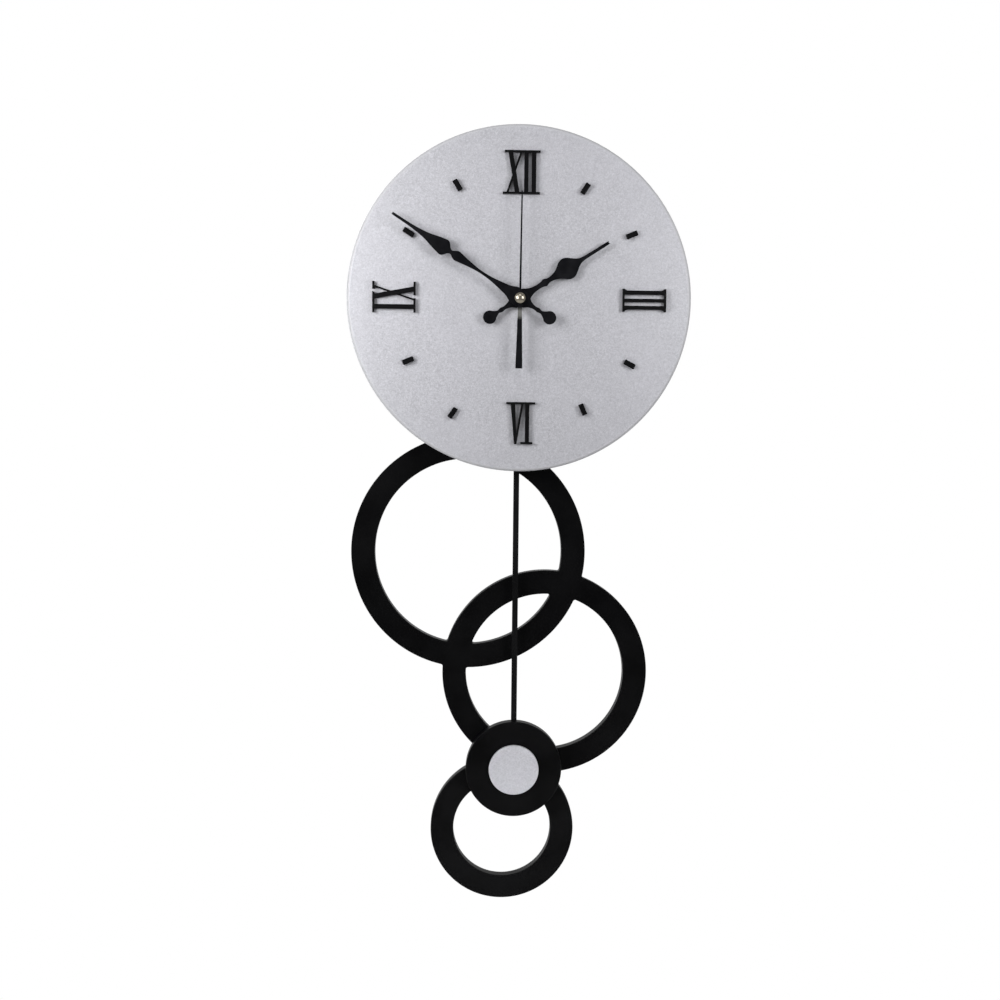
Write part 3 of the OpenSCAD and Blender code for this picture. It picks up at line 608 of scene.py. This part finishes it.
def corners(a, ra, open_a, b, rb, open_b):
    """The rounds on the +1 side and on the -1 side of the line from a to b."""
    return [Corner(a.at, ra, open_a, b.at, rb, open_b, side, ROUND) for side in (1, -1)]


def outer_loop():
    """The board's outline; p is the round on the plus side of two rings, m the other."""
    p12, m12 = corners(TOP, TOP.outer, 1, MIDDLE, MIDDLE.outer, 1)
    p23, m23 = corners(MIDDLE, MIDDLE.outer, 1, LOW, LOW.outer, 1)
    return (
        arc(TOP.at, p12.on_a, m12.on_a, 1, STEP) + corner_arc(m12, m12.on_a, m12.on_b)
        + arc(MIDDLE.at, m12.on_b, m23.on_a, 1, STEP) + corner_arc(m23, m23.on_a, m23.on_b)
        + arc(LOW.at, m23.on_b, p23.on_b, 1, STEP) + corner_arc(p23, p23.on_b, p23.on_a)
        + arc(MIDDLE.at, p23.on_a, p12.on_b, 1, STEP) + corner_arc(p12, p12.on_b, p12.on_a)
    )


def top_hole():
    plus, minus = corners(TOP, TOP.inner, -1, MIDDLE, MIDDLE.outer, 1)
    return (
        arc(TOP.at, plus.on_a, minus.on_a, 1, STEP) + corner_arc(minus, minus.on_a, minus.on_b)
        + arc(MIDDLE.at, minus.on_b, plus.on_b, -1, STEP) + corner_arc(plus, plus.on_b, plus.on_a)
    )


def lens_hole():
    plus, minus = corners(TOP, TOP.inner, -1, MIDDLE, MIDDLE.inner, -1)
    return (
        arc(TOP.at, minus.on_a, plus.on_a, 1, STEP) + corner_arc(plus, plus.on_a, plus.on_b)
        + arc(MIDDLE.at, plus.on_b, minus.on_b, 1, STEP) + corner_arc(minus, minus.on_b, minus.on_a)
    )


def middle_hole():
    plus, minus = corners(TOP, TOP.outer, 1, MIDDLE, MIDDLE.inner, -1)
    return (
        arc(MIDDLE.at, minus.on_b, plus.on_b, 1, STEP) + corner_arc(plus, plus.on_b, plus.on_a)
        + arc(TOP.at, plus.on_a, minus.on_a, -1, STEP) + corner_arc(minus, minus.on_a, minus.on_b)
    )


ring_front, ring_back = ends("ring_frame")
low_hole = full_circle(LOW.at, LOW.inner, STEP)
loops = [outer_loop(), top_hole(), lens_hole(), middle_hole(), low_hole]
ring_mesh = plate_mesh("rings", loops, ring_front, ring_back, RING_ROUNDING)
smoothed(placed("rings", ring_mesh, BLACK, "clock", "black_board", "ring_frame"))

# ---------------------------------------------------------------- pendulum bob and the cap

bob_front, bob_back = ends("pendulum_bob")
disc_front, disc_back = ends("bob_disc")
bob_z = middle_z("pendulum_bob")
disc_piece(
    "bob", half_width("pendulum_bob"), bob_front, bob_back, BOB_ROUNDING, bob_z, BLACK,
    "pendulum", "black_board", "pendulum_bob",
)
disc_piece(
    "bob_face", half_width("bob_disc"), disc_front, disc_back, BOB_ROUNDING, bob_z, SILVER,
    "pendulum", "dial_silver", "bob_disc",
)


def dome_profile(r, front, back, lip=0.25 * MM, steps=20):
    """A pressed dome with a narrow flat lip."""
    rise = back - lip - front
    ball = ((r - lip) ** 2 + rise**2) / (2 * rise)
    reach = math.asin((r - lip) / ball)
    pts = []
    for i in range(steps + 1):
        a = reach * i / steps
        pts.append((ball * math.sin(a), front + ball * (1 - math.cos(a))))
    return pts + [(r - lip / 3, back - lip), (r, back - 2 * lip / 3), (r, back), (0, back)]


cap_front, cap_back = ends("second_hand_cap")
dome = dome_profile(half_width("second_hand_cap"), cap_front, cap_back)
cap_mesh = lathe_mesh("cap", dome, hub_x, hub_z, 96)
smoothed(placed("cap", cap_mesh, CAP, "second", "cap_brass", "second_hand_cap"), 30)

# ---------------------------------------------------------------- simple CAD pieces

DRESSING = (
    (PLASTIC, ("numeral_xii", "numeral_iii", "numeral_vi", "numeral_ix", "hour_bars")),
    (ENAMEL, ("hour_hand", "minute_hand")),
    (TAIL_HIGHLIGHT_ENAMEL, ("second_hand",)),
    (ROD, ("pendulum_rod",)),
    (BOARD, ("spacer_block", "hanger_block")),
    (RUBBER, ("wall_bumpers",)),
    (CASE, ("case_front", "case_rear", "clock_chip", "swing_arm")),
    (BRASS, ("hand_bushing", "dial_washer", "fixing_nut")),
    (ZINC, ("spacer_screws", "hanger_block_screws", "hanger_plate", "hanger_plate_screws",
            "case_screws", "quartz_crystal", "contact_plus", "contact_minus", "pivot_pin")),
    (ACETAL, ("wheel_plate", "bridge_plate", "coil_core_bobbin", "rotor_pinion",
              "intermediate_wheel", "third_wheel", "second_wheel", "centre_wheel",
              "motion_wheel", "hour_wheel", "set_knob")),
    (CORE, ("stator",)),
    (MAGNET, ("rotor_magnet", "arm_magnet")),
    (wound_copper("X"), ("coil_winding",)),
    (wound_copper("Y"), ("drive_coil",)),
    (solder_mask(), ("circuit_board",)),
    (battery_jacket(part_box("battery")[1].x - PLUS_BAND), ("battery",)),
)
# Edge rounding in millimetres. Gears and turned parts keep the edges they have.
SOFTENED = {
    "numeral_xii": 0.3, "numeral_iii": 0.3, "numeral_vi": 0.3, "numeral_ix": 0.3, "hour_bars": 0.3,
    "hour_hand": 0.14, "minute_hand": 0.14, "second_hand": 0.1, "spacer_block": 0.5,
    "hanger_block": 0.5, "hanger_plate": 0.3, "case_front": 0.5, "case_rear": 0.5,
    "pendulum_rod": 0.2, "swing_arm": 0.3, "fixing_nut": 0.2,
}


def dress(obj, material):
    if not obj.material_slots:
        obj.data.materials.append(material)
    for held in obj.material_slots:
        held.material = material


def soften(obj, width):
    """Rounds the sharp edges of a CAD piece by width, with modifiers alone."""
    weld = obj.modifiers.new("weld", "WELD")
    weld.merge_threshold = SAME_ON_CAD
    flat = obj.modifiers.new("flat", "DECIMATE")
    flat.decimate_type = "DISSOLVE"
    flat.angle_limit = math.radians(0.6)
    edge = obj.modifiers.new("edge", "BEVEL")
    edge.width = width
    edge.segments = 3
    edge.angle_limit = math.radians(35)
    edge.harden_normals = False
    shade = obj.modifiers.new("shade", "WEIGHTED_NORMAL")
    shade.keep_sharp = True


for material, names in DRESSING:
    for name in names:
        dress(nodes[name], material)
for name, rounding in SOFTENED.items():
    soften(nodes[name], rounding * MM)

# ---------------------------------------------------------------- stage

# The floor lies as far below the nail as a wall clock usually hangs.
HANG_HEIGHT = 1.9
FLOOR_R = 2.4
bm = bmesh.new()
bmesh.ops.create_circle(bm, cap_ends=True, segments=128, radius=FLOOR_R)
floor_mesh = bpy.data.meshes.new("floor")
bm.to_mesh(floor_mesh)
bm.free()
floor = bpy.data.objects.new("floor", floor_mesh)
floor.location.z = -HANG_HEIGHT
bpy.context.scene.collection.objects.link(floor)
paper = Surface("studio_floor", (0.86, 0.86, 0.86), 0.9, specular=0.1)
paper.color(paper.blend(paper.noise(0.5, 3), (0.85, 0.85, 0.85), (0.88, 0.88, 0.88)))
paper.bsdf.inputs["Emission Color"].default_value = (1, 1, 1, 1)
paper.bsdf.inputs["Emission Strength"].default_value = 0.3
floor_mesh.materials.append(paper.mat)


def studio_world(front, back):
    """White to look at; as light, a bright paper sweep behind and a dim room in front."""
    w = bpy.data.worlds.new("studio")
    bpy.context.scene.world = w
    w.use_nodes = True
    tree = w.node_tree
    lit = tree.nodes["Background"]
    seen = tree.nodes.new("ShaderNodeBackground")
    seen.inputs["Color"].default_value = (1, 1, 1, 1)
    axes = tree.nodes.new("ShaderNodeSeparateXYZ")
    tree.links.new(tree.nodes.new("ShaderNodeTexCoord").outputs["Generated"], axes.inputs[0])
    fade = tree.nodes.new("ShaderNodeMapRange")
    ramp = (("From Min", -0.1), ("From Max", 0.35), ("To Min", front), ("To Max", back))
    for key, value in ramp:
        fade.inputs[key].default_value = value
    tree.links.new(axes.outputs["Y"], fade.inputs["Value"])
    lit.inputs["Color"].default_value = (1, 1, 1, 1)
    tree.links.new(fade.outputs["Result"], lit.inputs["Strength"])
    mix = tree.nodes.new("ShaderNodeMixShader")
    tree.links.new(tree.nodes.new("ShaderNodeLightPath").outputs["Is Camera Ray"], mix.inputs[0])
    tree.links.new(lit.outputs[0], mix.inputs[1])
    tree.links.new(seen.outputs[0], mix.inputs[2])
    tree.links.new(mix.outputs[0], tree.nodes["World Output"].inputs["Surface"])


studio_world(front=0.16, back=0.9)


def lamp(name, place, target, size, watts, spread=180):
    """A round softbox at place that faces target, with its spread in degrees."""
    data = bpy.data.lights.new(name, "AREA")
    data.shape = "DISK"
    data.size = size
    data.energy = watts
    data.spread = math.radians(spread)
    obj = bpy.data.objects.new(name, data)
    bpy.context.scene.collection.objects.link(obj)
    obj.location = place
    obj.rotation_euler = (Vector(target) - Vector(place)).to_track_quat("-Z", "Y").to_euler()


lamp("left_box", (-0.44, -0.40, -0.01), (-0.05, 0, -0.10), 0.34, 3.65)
lamp("right_box", (0.54, -0.54, 0.02), (0.05, 0, -0.10), 0.34, 3.1)
lamp("low_left", (-0.45, -0.5, -0.72), (0, 0, -0.56), 0.3, 0.165, 40)
lamp("low_right", (0.45, -0.5, -0.72), (0, 0, -0.56), 0.3, 0.165, 40)
lamp("top_box", (0.0, -0.8, 0.9), (0, 0, -0.2), 0.5, 2.4)

# ---------------------------------------------------------------- camera

# From the hub, in millimetres
CAMERA_AT = Vector((-44.7, -1052.8, -85.3)) * MM + Vector((0, 0, hub_z))
# To the right, downwards and anticlockwise
YAW, PITCH, ROLL = (math.radians(v) for v in (1.78, 3.76, 0.57))
# Focal length over sensor width
FOCAL = 1.336
level = Vector((math.sin(YAW), math.cos(YAW), 0))
forward = level * math.cos(PITCH) - Vector((0, 0, math.sin(PITCH)))
right = Vector((math.cos(YAW), -math.sin(YAW), 0))
up = right.cross(forward)
cam_x = right * math.cos(ROLL) + up * math.sin(ROLL)
cam_y = up * math.cos(ROLL) - right * math.sin(ROLL)
cam_data = bpy.data.cameras.new("camera")
cam_data.sensor_width = 36
cam_data.lens = FOCAL * cam_data.sensor_width
cam = bpy.data.objects.new("camera", cam_data)
bpy.context.scene.collection.objects.link(cam)
turn = Matrix((cam_x, cam_y, -forward)).transposed().to_4x4()
cam.matrix_world = Matrix.Translation(CAMERA_AT) @ turn
bpy.context.scene.camera = cam
bpy.context.scene.view_settings.view_transform = "Standard"
